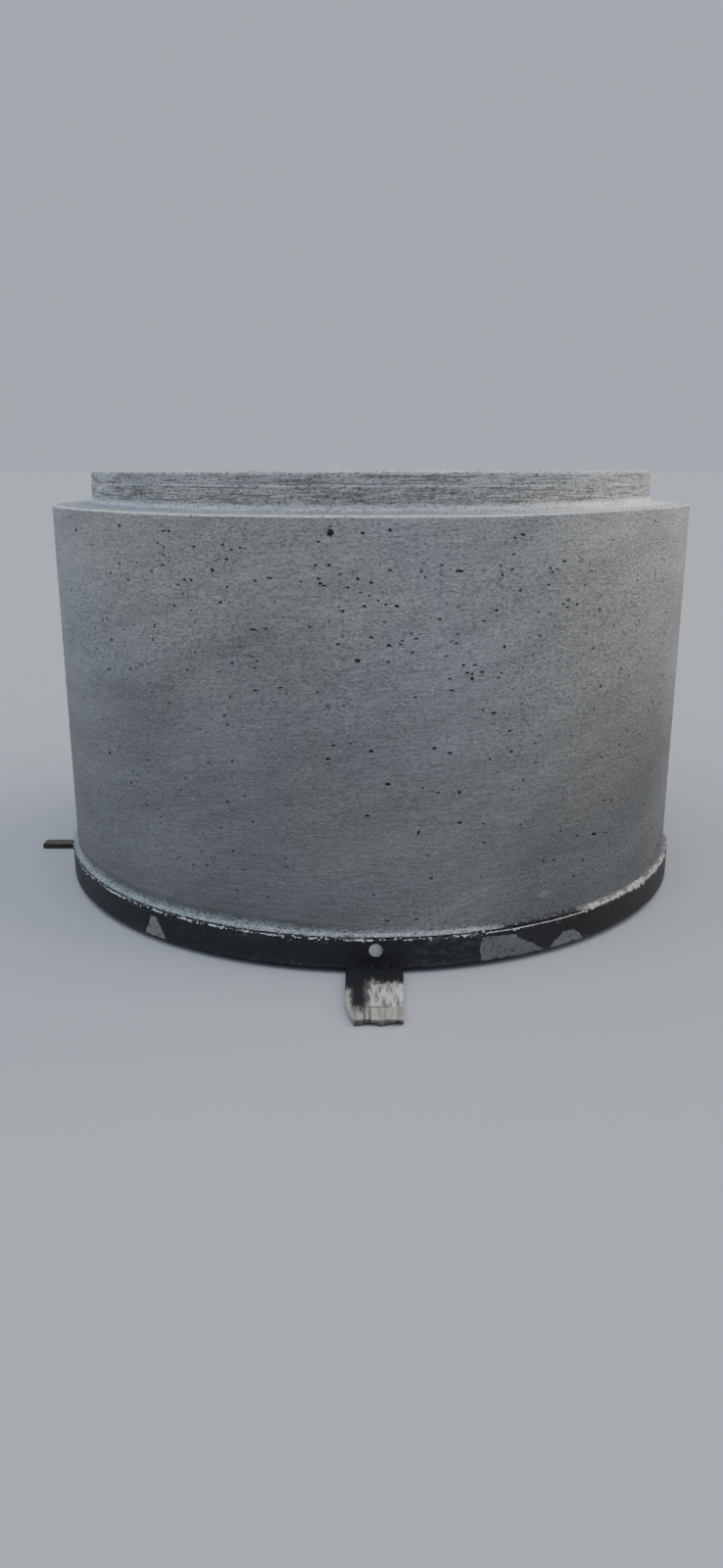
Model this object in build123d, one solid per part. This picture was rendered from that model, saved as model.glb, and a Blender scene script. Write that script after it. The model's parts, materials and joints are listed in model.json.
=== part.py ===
from build123d import *
import math
import os

# A large precast concrete culvert pipe, standing on end with its spigot up. It is still on the
# steel base ring of its mould, which lies on timber bearers. Millimetres, +Z up. The origin is on
# the pipe's axis, in the plane where the concrete's foot meets the base ring.

# Concrete pipe
bore_radius = 1000
wall_thickness = 250
barrel_length = 1350
arris_radius = 4
spigot_depth = 150
spigot_height = 130
spigot_cove_radius = 30
spigot_band_height = 45
spigot_band_step = 2
spigot_edge_radius = 6
joint_gap = 10
joint_seat = 5
groove_corner_radius = 15
toe_width = 16
toe_height = 8
toe_edge_height = 2

# Steel base ring
ring_height = 108
ring_ledge = 20
ring_corner_radius = 10
ring_plate = 12
form_gap = 0.5

# Locating pin in the front of the base ring
pin_radius = 25
pin_length = 60
pin_proud = 3
pin_drop = 43
pin_angle = 0.5
pin_chamfer = 2
pin_clearance = 0.3

# Timber bearers
bearer_thickness = 25
bearer_inner_reach = 40
bearer_edge_radius = 2
front_board_width = 190
front_board_reach = 350
front_board_shift = 7
front_board_cut_width = 28
front_board_cut_length = 120
left_batten_width = 60
left_batten_reach = 180
left_batten_shift = 8
left_batten_end_radius = 14
hidden_board_width = 190

# Sizes that follow from the ones above
barrel_radius = bore_radius + wall_thickness
spigot_radius = barrel_radius - spigot_depth
spigot_band_radius = spigot_radius - spigot_band_step
pipe_top = barrel_length + spigot_height
groove_radius = spigot_radius + joint_gap
groove_depth = spigot_height + joint_seat
ring_outer_radius = barrel_radius + ring_ledge
ring_inner_radius = bore_radius
former_radius = groove_radius - form_gap
former_height = groove_depth - form_gap
bearer_top = -ring_height
bearer_inner_end = ring_inner_radius - bearer_inner_reach


def turned(corners):
    """A solid of revolution about Z from (radius, height, corner radius) points."""
    points = [(radius, height) for radius, height, _ in corners]
    roundings = [rounding for _, _, rounding in corners]
    outline = FilletPolyline(*points, radius=roundings, close=True)
    section = Plane.XZ * make_face(outline)
    return revolve(section, Axis.Z)


def concrete_pipe():
    """The pipe as cast: plain bore, barrel, shoulder, stepped spigot and the groove below."""
    return turned(
        [
            (bore_radius, groove_depth, 0),
            (bore_radius, pipe_top, spigot_edge_radius),
            (spigot_band_radius, pipe_top, spigot_edge_radius),
            (spigot_band_radius, pipe_top - spigot_band_height, 0),
            (spigot_radius, pipe_top - spigot_band_height - spigot_band_step, 0),
            (spigot_radius, barrel_length, spigot_cove_radius),
            (barrel_radius, barrel_length, arris_radius),
            (barrel_radius, toe_height, 0),
            (barrel_radius + toe_width, toe_edge_height, 0),
            (barrel_radius + toe_width, 0, 0),
            (groove_radius, 0, 0),
            (groove_radius, groove_depth, groove_corner_radius),
        ]
    )


def pin_axis():
    """Plane at the centre of the pin's outer end, with its normal pointing out of the ring."""
    turn = math.radians(pin_angle)
    outward = Vector(math.sin(turn), -math.cos(turn), 0)
    centre = outward * (ring_outer_radius + pin_proud) - Vector(0, 0, pin_drop)
    return Plane(origin=centre, z_dir=outward)


def pallet_ring():
    """The base ring: outer skirt and ledge, the raised former of the groove, inner skirt."""
    ring = turned(
        [
            (ring_outer_radius, -ring_height, 0),
            (ring_outer_radius, 0, ring_corner_radius),
            (former_radius, 0, 0),
            (former_radius, former_height, groove_corner_radius),
            (ring_inner_radius, former_height, 0),
            (ring_inner_radius, -ring_height, 0),
            (ring_inner_radius + ring_plate, -ring_height, 0),
            (ring_inner_radius + ring_plate, former_height - ring_plate, 0),
            (former_radius - ring_plate, former_height - ring_plate, 0),
            (former_radius - ring_plate, -ring_plate, 0),
            (ring_outer_radius - ring_plate, -ring_plate, 0),
            (ring_outer_radius - ring_plate, -ring_height, 0),
        ]
    )
    hole = pin_axis() * Cylinder(
        pin_radius + pin_clearance,
        pin_length,
        align=(Align.CENTER, Align.CENTER, Align.MAX),
    )
    return ring - hole


def locating_pin():
    """The short round bar in the ring's front hole, standing a little proud of the band."""
    bar = Cylinder(pin_radius, pin_length, align=(Align.CENTER, Align.CENTER, Align.MAX))
    return pin_axis() * chamfer(bar.edges().group_by(Axis.Z)[-1], pin_chamfer)


def timber(outline):
    """A board laid flat under the ring, with its long arrises slightly rounded."""
    board = extrude(Plane.XY.offset(bearer_top) * make_face(outline), -bearer_thickness)
    upper_and_lower = board.edges().filter_by(lambda edge: abs(edge.tangent_at(0).Z) < 0.5)
    return fillet(upper_and_lower, bearer_edge_radius)


def front_board():
    """The wide board at the front, with the broken-off corner on its left."""
    left = front_board_shift - front_board_width / 2
    right = front_board_shift + front_board_width / 2
    end = -(ring_outer_radius + front_board_reach)
    return timber(
        Polyline(
            (left, -bearer_inner_end),
            (left, end + front_board_cut_length),
            (left + front_board_cut_width, end),
            (right, end),
            (right, -bearer_inner_end),
            close=True,
        )
    )


def left_batten():
    """The narrow batten at the left, with a worn round end."""
    near = left_batten_shift - left_batten_width / 2
    far = left_batten_shift + left_batten_width / 2
    end = -(ring_outer_radius + left_batten_reach)
    return timber(
        FilletPolyline(
            (-bearer_inner_end, near),
            (end, near),
            (end, far),
            (-bearer_inner_end, far),
            radius=[0, left_batten_end_radius, left_batten_end_radius, 0],
            close=True,
        )
    )


def hidden_board(turn):
    """A plain board that ends flush with the ring, turned about Z from the +X side."""
    half = hidden_board_width / 2
    end = math.sqrt(ring_outer_radius**2 - half**2)
    board = timber(
        Polyline(
            (bearer_inner_end, -half),
            (end, -half),
            (end, half),
            (bearer_inner_end, half),
            close=True,
        )
    )
    return board.rotate(Axis.Z, turn)


pieces = {
    "concrete_pipe": concrete_pipe(),
    "pallet_ring": pallet_ring(),
    "locating_pin": locating_pin(),
    "front_board": front_board(),
    "left_batten": left_batten(),
    "right_board": hidden_board(0),
    "back_board": hidden_board(90),
}

os.makedirs("parts", exist_ok=True)
for name, shape in pieces.items():
    export_step(shape, f"parts/{name}.step")
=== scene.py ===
"""Looks of a precast concrete culvert pipe that stands, spigot up, on the steel base ring of its mould."""

import json
import math
import random

import bpy
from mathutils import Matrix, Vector, noise


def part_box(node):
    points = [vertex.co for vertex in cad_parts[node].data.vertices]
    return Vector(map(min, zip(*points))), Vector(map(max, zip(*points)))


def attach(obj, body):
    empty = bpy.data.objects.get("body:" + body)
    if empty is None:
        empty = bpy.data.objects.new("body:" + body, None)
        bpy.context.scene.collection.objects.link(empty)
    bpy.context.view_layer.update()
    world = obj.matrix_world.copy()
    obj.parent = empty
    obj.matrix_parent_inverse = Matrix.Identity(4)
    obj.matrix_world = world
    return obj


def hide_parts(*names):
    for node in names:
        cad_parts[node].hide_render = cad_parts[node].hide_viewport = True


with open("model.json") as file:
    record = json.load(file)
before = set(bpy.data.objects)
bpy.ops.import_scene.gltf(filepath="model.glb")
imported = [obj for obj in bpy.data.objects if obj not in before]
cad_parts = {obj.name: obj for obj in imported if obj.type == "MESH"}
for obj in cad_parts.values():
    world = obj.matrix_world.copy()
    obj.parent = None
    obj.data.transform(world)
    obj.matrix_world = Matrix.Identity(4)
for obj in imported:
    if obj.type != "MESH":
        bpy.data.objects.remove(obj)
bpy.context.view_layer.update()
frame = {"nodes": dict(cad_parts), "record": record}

# Sizes in metres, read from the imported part
MOUNTS = {mount["name"]: mount for mount in frame["record"]["mounts"]}
BORE = MOUNTS["bore"]["dims"]["r_mm"] / 1000
SPIGOT = MOUNTS["spigot"]["dims"]["r_mm"] / 1000
SHOULDER = MOUNTS["shoulder"]["pos_m"][2]
TOP = MOUNTS["spigot_end"]["pos_m"][2]
RING_LOW, RING_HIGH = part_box("pallet_ring")
RING = RING_HIGH.x
RING_BOTTOM = RING_LOW.z
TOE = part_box("concrete_pipe")[1].x
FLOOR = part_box("front_board")[0].z

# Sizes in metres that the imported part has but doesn't name
FORM_GAP = 0.0005
JOINT_GAP = 0.010
TOE_WIDTH = 0.016
TOE_HEIGHT = 0.008
TOE_EDGE = 0.002
BARREL = TOE - TOE_WIDTH
ARRIS = 0.004
COVE = 0.030
SPIGOT_BAND = 0.045
SPIGOT_STEP = 0.002
SPIGOT_EDGE = 0.006
GROOVE = SPIGOT + JOINT_GAP
GROOVE_DEPTH = RING_HIGH.z + FORM_GAP
GROOVE_CORNER = 0.015

# The photograph's camera: level with the rim, a little left of the pipe's axis
PHOTO_WIDTH = 738
PHOTO_HEIGHT = 1600
FOCAL_PIXELS = 1100
TILT_DOWN = math.radians(16.22)
EYE = Vector((-0.036, -4.5375, TOP))
AHEAD = Vector((0, math.cos(TILT_DOWN), -math.sin(TILT_DOWN)))

# Where the struck shoulder starts to rise, where it stops, and by how much
SHOULDER_RISES = ((0.30, 1.00, 0.010), (-0.55, -1.10, 0.005))

# How finely round pieces are divided, and what every random draw starts from
PIPE_STEPS = 720
CRUST_STEPS = 1440
SEED = 11

# Fractal noise: how much finer each layer is than the last, and how much of its height is lost
LAYER_FINENESS = 2.1
LAYER_LOSS = 0.9

# Uneven balls that holes and crumbs are copied from, and the width that sets the small ones apart
LARGE_LUMPS = 6
SMALL_LUMPS = 3
SMALL_HOLE = 0.0085


def view_ray(x, y):
    """Direction from the camera through a pixel of the photograph."""
    above = Vector((0, math.sin(TILT_DOWN), math.cos(TILT_DOWN)))
    side = Vector((1, 0, 0))
    ray = AHEAD * FOCAL_PIXELS + side * (x - PHOTO_WIDTH / 2) + above * (PHOTO_HEIGHT / 2 - y)
    return ray.normalized()


def seen_on_wall(x, y, radius):
    """(angle from the front towards +X, height) where a pixel's ray meets a round wall."""
    ray = view_ray(x, y)
    a = ray.x**2 + ray.y**2
    b = EYE.x * ray.x + EYE.y * ray.y
    c = EYE.x**2 + EYE.y**2 - radius**2
    reach = (-b - math.sqrt(max(b * b - a * c, 0))) / a
    point = EYE + ray * reach
    return math.atan2(point.x, -point.y), point.z


def edge_angle(x):
    """Angle from the front of the point of the ring's top edge that is seen at a pixel across."""
    low = math.radians(-70)
    high = math.radians(70)
    for _ in range(30):
        middle = (low + high) / 2
        offset = on_wall(middle, -0.008, RING) - EYE
        if PHOTO_WIDTH / 2 + FOCAL_PIXELS * offset.x / offset.dot(AHEAD) < x:
            low = middle
        else:
            high = middle
    return low


def on_wall(angle, height, radius):
    """The point of a round wall at an angle from the front and a height."""
    return Vector((radius * math.sin(angle), -radius * math.cos(angle), height))


def angle_of(point):
    """Angle of a point round the pipe's axis, from the front towards +X."""
    return math.atan2(point.x, -point.y)


def smooth_step(low, high, value):
    """0 below low, 1 above high and an even curve between them."""
    share = min(max((value - low) / (high - low), 0), 1)
    return share * share * (3 - 2 * share)


def plateau(value, low, high, end, gone):
    """0 below low, 1 from high to end, and 0 again above gone."""
    return smooth_step(low, high, value) * (1 - smooth_step(end, gone, value))


def rough(point, scale, detail=3):
    """Signed fractal noise of about plus or minus one at a point, with scale bumps in a metre."""
    return noise.fractal(point * scale, LAYER_LOSS, LAYER_FINENESS, detail)


# Modelling helpers


def deselect():
    bpy.ops.object.select_all(action="DESELECT")


def pick(*pieces):
    """Select some pieces and nothing else, with the first of them active."""
    deselect()
    for piece in pieces:
        piece.select_set(True)
    bpy.context.view_layer.objects.active = pieces[0]


def start(name):
    """Take the primitive that was just added as the piece of this name, with its place in its mesh."""
    piece = bpy.context.object
    piece.name = name
    piece.data.name = name
    bpy.ops.object.transform_apply(location=True, rotation=True, scale=True)
    return piece


def arc(centre, radius, first, last, count):
    """Points of an arc in the section plane, angles in degrees."""
    points = []
    for i in range(count + 1):
        turn = math.radians(first + (last - first) * i / count)
        points.append((centre[0] + radius * math.cos(turn), centre[1] + radius * math.sin(turn)))
    return points


def run(first, last, count):
    """Points of a straight stretch in the section plane, without its last point."""
    points = []
    for i in range(count):
        share = i / count
        points.append((first[0] + (last[0] - first[0]) * share, first[1] + (last[1] - first[1]) * share))
    return points


def edit(piece):
    """Open a piece in edit mode with all of it selected."""
    pick(piece)
    bpy.ops.object.mode_set(mode="EDIT")
    bpy.ops.mesh.select_all(action="SELECT")


def leave_edit():
    bpy.ops.object.mode_set(mode="OBJECT")


def apply_modifiers(piece):
    bpy.context.view_layer.objects.active = piece
    for modifier in list(piece.modifiers):
        bpy.ops.object.modifier_apply(modifier=modifier.name)


def turned(name, outline, steps):
    """Draw a closed section point by point, and turn it once round the pipe's axis."""
    deselect()
    bpy.ops.mesh.primitive_plane_add(size=0.001, location=(outline[0][0], 0, outline[0][1]))
    piece = start(name)
    edit(piece)
    bpy.ops.mesh.merge(type="CENTER")
    here = outline[0]
    for point in outline[1:] + outline[:1]:
        step = (point[0] - here[0], 0, point[1] - here[1])
        bpy.ops.mesh.extrude_vertices_move(TRANSFORM_OT_translate={"value": step})
        here = point
    bpy.ops.mesh.select_all(action="SELECT")
    bpy.ops.mesh.remove_doubles(threshold=0.00002)
    leave_edit()
    turn = piece.modifiers.new("turn", "SCREW")
    turn.axis = "Z"
    turn.steps = steps
    turn.render_steps = steps
    turn.use_merge_vertices = True
    turn.merge_threshold = 0.00002
    apply_modifiers(piece)
    edit(piece)
    bpy.ops.mesh.remove_doubles(threshold=0.00002)
    bpy.ops.mesh.normals_make_consistent(inside=False)
    leave_edit()
    return piece


def smooth(piece, angle=30):
    pick(piece)
    bpy.ops.object.shade_smooth_by_angle(angle=math.radians(angle))


def joined(name, pieces):
    """Several small pieces as one object."""
    pick(*pieces)
    bpy.ops.object.join()
    piece = bpy.context.object
    piece.name = name
    piece.data.name = name
    return piece


def finished(piece, material, slot, *nodes):
    """Give a piece its material, attach it to the root, and hide the nodes that it stands for; slot is not
    used.
    """
    piece.data.materials.clear()
    piece.data.materials.append(material)
    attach(piece, "root")
    if nodes:
        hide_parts(*nodes)


# Shader helpers


def new_material(name):
    material = bpy.data.materials.new(name)
    material.use_nodes = True
    return material


def add(tree, kind, inputs, **settings):
    """Add a node, set its options, and give each input its value or its link."""
    node = tree.nodes.new(kind)
    for name, value in settings.items():
        setattr(node, name, value)
    for key, value in inputs.items():
        if isinstance(value, bpy.types.NodeSocket):
            tree.links.new(value, node.inputs[key])
        else:
            node.inputs[key].default_value = value
    return node


def tree_of(*values):
    """The node tree that the first socket among some values belongs to."""
    return next(value.id_data for value in values if isinstance(value, bpy.types.NodeSocket))


def next_node(kind, inputs, **settings):
    """Add a node to the tree that its inputs come from."""
    return add(tree_of(*inputs.values()), kind, inputs, **settings)


def new_finish(name):
    """A new material, and the place on the object that its patterns read."""
    material = new_material(name)
    return material, add(material.node_tree, "ShaderNodeTexCoord", {}).outputs["Object"]


def finish_material(material, colour, roughness, relief):
    """Join colour, roughness and relief, whose height is in millimetres, to the shader."""
    tree = material.node_tree
    shader = tree.nodes["Principled BSDF"]
    shader.inputs["Specular IOR Level"].default_value = 0.35
    tree.links.new(colour, shader.inputs["Base Color"])
    if isinstance(roughness, bpy.types.NodeSocket):
        tree.links.new(roughness, shader.inputs["Roughness"])
    else:
        shader.inputs["Roughness"].default_value = roughness
    bump = add(tree, "ShaderNodeBump", {"Height": relief, "Distance": 0.001, "Strength": 1.0})
    tree.links.new(bump.outputs[0], shader.inputs["Normal"])
    return material


def calc(operation, first, second=0.0, clamp=False):
    """A number worked out from one or two others."""
    inputs = {0: first, 1: second}
    return next_node("ShaderNodeMath", inputs, operation=operation, use_clamp=clamp).outputs[0]


def times(*factors):
    """The product of several numbers."""
    product = factors[0]
    for factor in factors[1:]:
        product = calc("MULTIPLY", product, factor)
    return product


def largest(*values):
    """The largest of several numbers."""
    best = values[0]
    for value in values[1:]:
        best = calc("MAXIMUM", best, value)
    return best


def weighted(*terms):
    """The sum of values, each times its weight."""
    tree = tree_of(*[value for value, _ in terms])
    total = 0.0
    for value, weight in terms:
        part = add(tree, "ShaderNodeMath", {0: value, 1: weight}, operation="MULTIPLY").outputs[0]
        total = calc("ADD", part, total)
    return total


def parts_of(vector):
    """The three numbers of a vector."""
    return next_node("ShaderNodeSeparateXYZ", {0: vector}).outputs


def built_from(across, back, up):
    """A vector of three numbers."""
    return next_node("ShaderNodeCombineXYZ", {0: across, 1: back, 2: up}).outputs[0]


def length_of(vector):
    return next_node("ShaderNodeVectorMath", {0: vector}, operation="LENGTH").outputs["Value"]


def facing(place, kind="Normal"):
    """How far the surface faces along each axis, in the tree that the place belongs to."""
    return parts_of(add(tree_of(place), "ShaderNodeNewGeometry", {}).outputs[kind])


def stretched(place, scale, shift=(0, 0, 0)):
    """The place with its axes scaled, which stretches a pattern along the axes with small scales."""
    return next_node("ShaderNodeMapping", {"Vector": place, "Scale": scale, "Location": shift}).outputs[0]


def grains(place, scale, detail=4.0, roughness=0.6, distortion=0.0):
    """Fractal noise from 0 to 1."""
    inputs = {"Vector": place, "Scale": scale, "Detail": detail}
    inputs.update({"Roughness": roughness, "Distortion": distortion})
    return next_node("ShaderNodeTexNoise", inputs).outputs[0]


def streaks(place, scale, detail, roughness=0.6, distortion=0.0, shift=(0, 0, 0)):
    """Fractal noise with its own scale along each axis."""
    return grains(stretched(place, scale, shift), 1.0, detail, roughness, distortion)


def between(value, low, high):
    """0 below low, 1 above high and an even curve between them; low may be the larger."""
    inputs = {"Value": value, "From Min": low, "From Max": high}
    return next_node("ShaderNodeMapRange", inputs, interpolation_type="SMOOTHSTEP").outputs[0]


def band(value, low, high, soft):
    """1 between two values and 0 outside them, with soft ends."""
    return times(between(value, low - soft, low + soft), between(value, high + soft, high - soft))


def grey(level, red=1.0, blue=1.0):
    """A colour near grey."""
    return (level * red, level, level * blue, 1)


def blend(share, first, second):
    """Two colours mixed."""
    return next_node("ShaderNodeMix", {0: share, 6: first, 7: second}, data_type="RGBA").outputs[2]


def shaded(colour, *steps):
    """A colour shaded in turn by values from 0 to 1, each with what it multiplies by at 0 and at 1."""
    for value, low, high in steps:
        amount = next_node("ShaderNodeMapRange", {"Value": value, "To Min": low, "To Max": high}).outputs[0]
        inputs = {0: colour if isinstance(colour, bpy.types.NodeSocket) else colour[:3], "Scale": amount}
        colour = next_node("ShaderNodeVectorMath", inputs, operation="SCALE").outputs[0]
    return colour


def laid(colour, *coats):
    """A colour with coats laid over it in turn, each with its mask, its share and its colour."""
    for mask, share, coat in coats:
        colour = blend(times(mask, share), colour, coat)
    return colour


# Concrete pipe


def pipe_outline():
    """Half section of the pipe, up the bore, over the spigot and down the barrel."""
    band_wall = SPIGOT - SPIGOT_STEP
    band_foot = TOP - SPIGOT_BAND
    outline = run((BORE, GROOVE_DEPTH), (BORE, TOP - SPIGOT_EDGE), 12)
    outline += arc((BORE + SPIGOT_EDGE, TOP - SPIGOT_EDGE), SPIGOT_EDGE, 180, 90, 4)
    outline += run((BORE + 3 * SPIGOT_EDGE, TOP), (band_wall - SPIGOT_EDGE, TOP), 5)
    outline += arc((band_wall - SPIGOT_EDGE, TOP - SPIGOT_EDGE), SPIGOT_EDGE, 90, 0, 5)
    outline += run((band_wall, TOP - 2 * SPIGOT_EDGE), (band_wall, band_foot), 5)
    outline += [(band_wall, band_foot)]
    outline += run((SPIGOT, band_foot - SPIGOT_STEP), (SPIGOT, SHOULDER + COVE), 6)
    outline += arc((SPIGOT + COVE, SHOULDER + COVE), COVE, 180, 270, 6)
    outline += run((SPIGOT + 1.4 * COVE, SHOULDER), (BARREL - ARRIS, SHOULDER), 6)
    outline += arc((BARREL - ARRIS, SHOULDER - ARRIS), ARRIS, 90, 0, 3)
    outline += run((BARREL, SHOULDER - 3 * ARRIS), (BARREL, TOE_HEIGHT), 22)
    outline += run((BARREL, TOE_HEIGHT), (TOE, TOE_EDGE), 3)
    outline += [(TOE, TOE_EDGE)]
    outline += run((TOE, 0), (GROOVE, 0), 2)
    outline += run((GROOVE, 0), (GROOVE, GROOVE_DEPTH - GROOVE_CORNER), 3)
    outline += arc((GROOVE - GROOVE_CORNER, GROOVE_DEPTH - GROOVE_CORNER), GROOVE_CORNER, 0, 90, 3)
    return outline


def shoulder_rise(across):
    """How far the struck shoulder stands above level at a place across the pipe."""
    return sum(rise * smooth_step(first, last, across) for first, last, rise in SHOULDER_RISES)


def weathered(point):
    """Where a point of the clean pipe lies on the real, hand-struck one."""
    radius = math.hypot(point.x, point.y)
    angle = angle_of(point)
    height = point.z
    if height < GROOVE_DEPTH + 0.01 and radius < BARREL - 0.01:
        return point
    wave = 0.0009 * rough(point, 2.5, 2) + 0.0004 * rough(point, 14, 2)
    radius += wave if radius > SPIGOT - 0.01 else -wave
    cast = smooth_step(SHOULDER + COVE, SHOULDER + COVE + 0.01, height) * (radius > SPIGOT - 0.01)
    radius += cast * 0.0016 * rough(point, 55, 3)
    lip = smooth_step(TOP - 0.016, TOP - 0.002, height)
    lip *= smooth_step(SPIGOT - 0.03, SPIGOT - 0.008, radius)
    chips = max(rough(point, 31, 3), 0) ** 1.5
    radius -= lip * (0.0045 * chips + 0.0012 * (1 + rough(point, 90, 2)))
    height -= lip * (0.0050 * chips + 0.0010 * (1 + rough(point + Vector((3, 0, 0)), 70, 2)))
    crest = smooth_step(TOP - 0.002, TOP, point.z)
    height += crest * (0.0022 * rough(point, 26, 4) - 0.0006)
    arris = plateau(point.z, SHOULDER - 0.012, SHOULDER - 0.002, SHOULDER + 0.002, SHOULDER + 0.006)
    arris *= smooth_step(BARREL - 0.012, BARREL - 0.002, radius)
    radius += arris * 0.0016 * rough(point, 45, 3)
    height += arris * 0.0022 * rough(point + Vector((0, 5, 0)), 38, 3)
    shelf = plateau(point.z, SHOULDER - 0.001, SHOULDER + 0.001, SHOULDER + 0.03, SHOULDER + 0.05)
    height += shelf * (0.0016 * rough(point, 17, 3) + 0.0008)
    risen = plateau(point.z, SHOULDER - 0.20, SHOULDER - 0.02, SHOULDER + COVE, TOP - SPIGOT_BAND - 0.005)
    height += risen * (radius > SPIGOT - 0.01) * shoulder_rise(point.x)
    toe = 1 - smooth_step(TOE_HEIGHT, TOE_HEIGHT + 0.004, point.z)
    toe *= smooth_step(0.0005, TOE_EDGE, point.z) * smooth_step(BARREL - 0.004, BARREL + 0.001, radius)
    height += toe * 0.0030 * (rough(point, 26, 3) + 0.3)
    return on_wall(angle, height, radius)


def lump_models():
    """A few uneven balls of one metre radius that holes and crumbs are copied from."""
    models = []
    for number in range(LARGE_LUMPS + SMALL_LUMPS):
        deselect()
        bpy.ops.mesh.primitive_ico_sphere_add(subdivisions=2 if number < LARGE_LUMPS else 1, radius=1)
        model = start("lump_model")
        shift = Vector((number * 1.37, number * 0.61, number * 2.11))
        for vertex in model.data.vertices:
            vertex.co *= 1 + 0.35 * noise.noise(vertex.co * 1.3 + shift)
        models.append(model)
    return models


def small_model(models, number):
    """The small balls in turn."""
    return models[LARGE_LUMPS + number % SMALL_LUMPS]


def lump(model, place, size):
    """A copy of an uneven ball at a place, with its half sizes along the wall, across it and up."""
    piece = model.copy()
    piece.data = model.data.copy()
    bpy.context.scene.collection.objects.link(piece)
    angle = angle_of(place)
    along = Vector((-math.cos(angle), -math.sin(angle), 0))
    outward = on_wall(angle, 0, 1)
    for vertex in piece.data.vertices:
        ball = vertex.co.copy()
        rise = Vector((0, 0, ball.z * size[2]))
        vertex.co = place + along * (ball.x * size[0]) + outward * (ball.y * size[1]) + rise
    return piece


# The largest air holes seen in the photograph: pixel across, pixel down, width and height in millimetres
HOLES_SEEN = (
    (337, 544, 21, 24), (534, 546, 18, 9), (122, 537, 13, 15), (167, 542, 14, 8), (576, 573, 16, 9),
    (469, 583, 27, 12), (398, 582, 14, 7), (166, 577, 12, 10), (131, 592, 15, 10), (195, 592, 11, 9),
    (275, 590, 20, 8), (331, 598, 16, 8), (394, 617, 14, 7), (405, 619, 15, 11), (531, 603, 16, 8),
    (225, 615, 12, 12), (178, 618, 13, 8), (258, 643, 25, 10), (114, 653, 12, 17), (156, 653, 9, 12),
    (379, 651, 13, 11), (425, 652, 13, 10), (397, 659, 15, 12), (515, 660, 11, 14), (421, 666, 16, 8),
    (365, 675, 18, 17), (396, 676, 14, 10), (485, 679, 16, 8), (482, 693, 12, 14), (461, 705, 18, 9),
    (424, 712, 14, 8), (504, 728, 16, 11), (493, 725, 13, 7), (679, 646, 12, 16), (669, 586, 9, 24),
    (261, 705, 20, 8), (286, 702, 15, 8), (232, 740, 12, 9), (122, 762, 14, 12), (112, 769, 16, 15),
    (213, 779, 20, 8), (151, 776, 12, 10), (237, 777, 9, 10), (184, 806, 14, 8), (250, 813, 12, 10),
    (335, 775, 15, 14), (379, 767, 16, 13), (396, 801, 17, 15), (443, 764, 15, 11), (459, 769, 14, 10),
    (447, 809, 15, 8), (469, 809, 10, 17), (375, 833, 16, 11), (469, 840, 15, 12), (427, 850, 10, 16),
    (606, 852, 23, 17), (588, 853, 18, 9), (614, 773, 13, 9), (617, 817, 13, 9), (666, 716, 13, 11),
    (565, 878, 12, 10), (595, 878, 12, 10), (436, 873, 13, 7), (198, 883, 12, 10), (212, 883, 11, 10),
    (122, 874, 11, 12), (522, 767, 12, 11), (676, 689, 12, 14), (602, 576, 9, 7), (614, 608, 10, 8),
)
SPIGOT_HOLES_SEEN = ((548, 485, 15, 13), (144, 504, 11, 9), (604, 491, 10, 8), (452, 494, 10, 6))
HOLE_CLUSTERS = 90

# Smaller air holes seen there: pixel across and pixel down
SMALL_HOLES_SEEN = (
    (526, 549), (451, 577), (511, 577), (513, 587), (523, 581), (562, 580), (564, 584), (604, 583),
    (625, 551), (560, 597), (597, 597), (612, 622), (682, 612), (575, 616), (589, 617), (507, 623),
    (468, 620), (494, 634), (449, 632), (550, 625), (467, 647), (466, 657), (455, 670), (605, 662),
    (651, 665), (654, 672), (634, 683), (642, 689), (512, 687), (509, 692), (482, 688), (459, 693),
    (473, 679), (669, 532), (671, 537), (78, 541), (172, 542), (161, 554), (92, 556), (167, 559),
    (198, 558), (227, 556), (245, 559), (325, 553), (231, 571), (140, 574), (172, 573), (155, 583),
    (217, 582), (322, 577), (113, 585), (124, 588), (188, 592), (182, 597), (260, 593), (232, 599),
    (73, 601), (187, 606), (195, 623), (316, 640), (105, 633), (199, 666), (257, 670), (262, 675),
    (237, 677), (91, 666), (105, 671), (127, 682), (133, 683), (191, 684), (223, 686), (261, 682),
    (370, 544), (398, 541), (336, 577), (347, 586), (325, 591), (327, 596), (365, 591), (379, 595),
    (434, 589), (355, 600), (368, 605), (377, 608), (386, 613), (372, 619), (350, 624), (392, 635),
    (420, 647), (345, 658), (411, 654), (409, 658), (477, 687), (101, 785), (136, 788), (151, 788),
    (189, 794), (140, 798), (134, 799), (124, 815), (237, 828), (293, 822), (150, 822), (162, 826),
    (164, 834), (217, 831), (151, 847), (226, 845), (258, 839), (207, 851), (206, 869), (181, 877),
    (220, 876), (259, 873), (238, 869), (292, 877), (292, 885), (129, 904), (242, 909), (274, 916),
    (492, 686), (520, 746), (550, 751), (500, 775), (508, 788), (534, 796), (493, 841), (494, 860),
    (606, 724), (680, 694), (674, 718), (662, 725), (653, 749), (678, 755), (651, 777), (665, 786),
    (673, 798), (624, 817), (658, 821), (618, 850), (622, 847), (655, 854), (642, 865), (631, 874),
    (554, 880), (604, 887), (585, 894), (665, 845), (77, 541), (87, 556), (94, 556), (122, 575),
    (66, 616), (75, 647), (91, 649), (99, 662), (84, 632), (105, 632), (158, 638), (236, 561),
    (216, 581), (346, 620),
)

# A hole's broken edge reaches this much further than its dark middle
BROKEN_EDGE = 1.08


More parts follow.
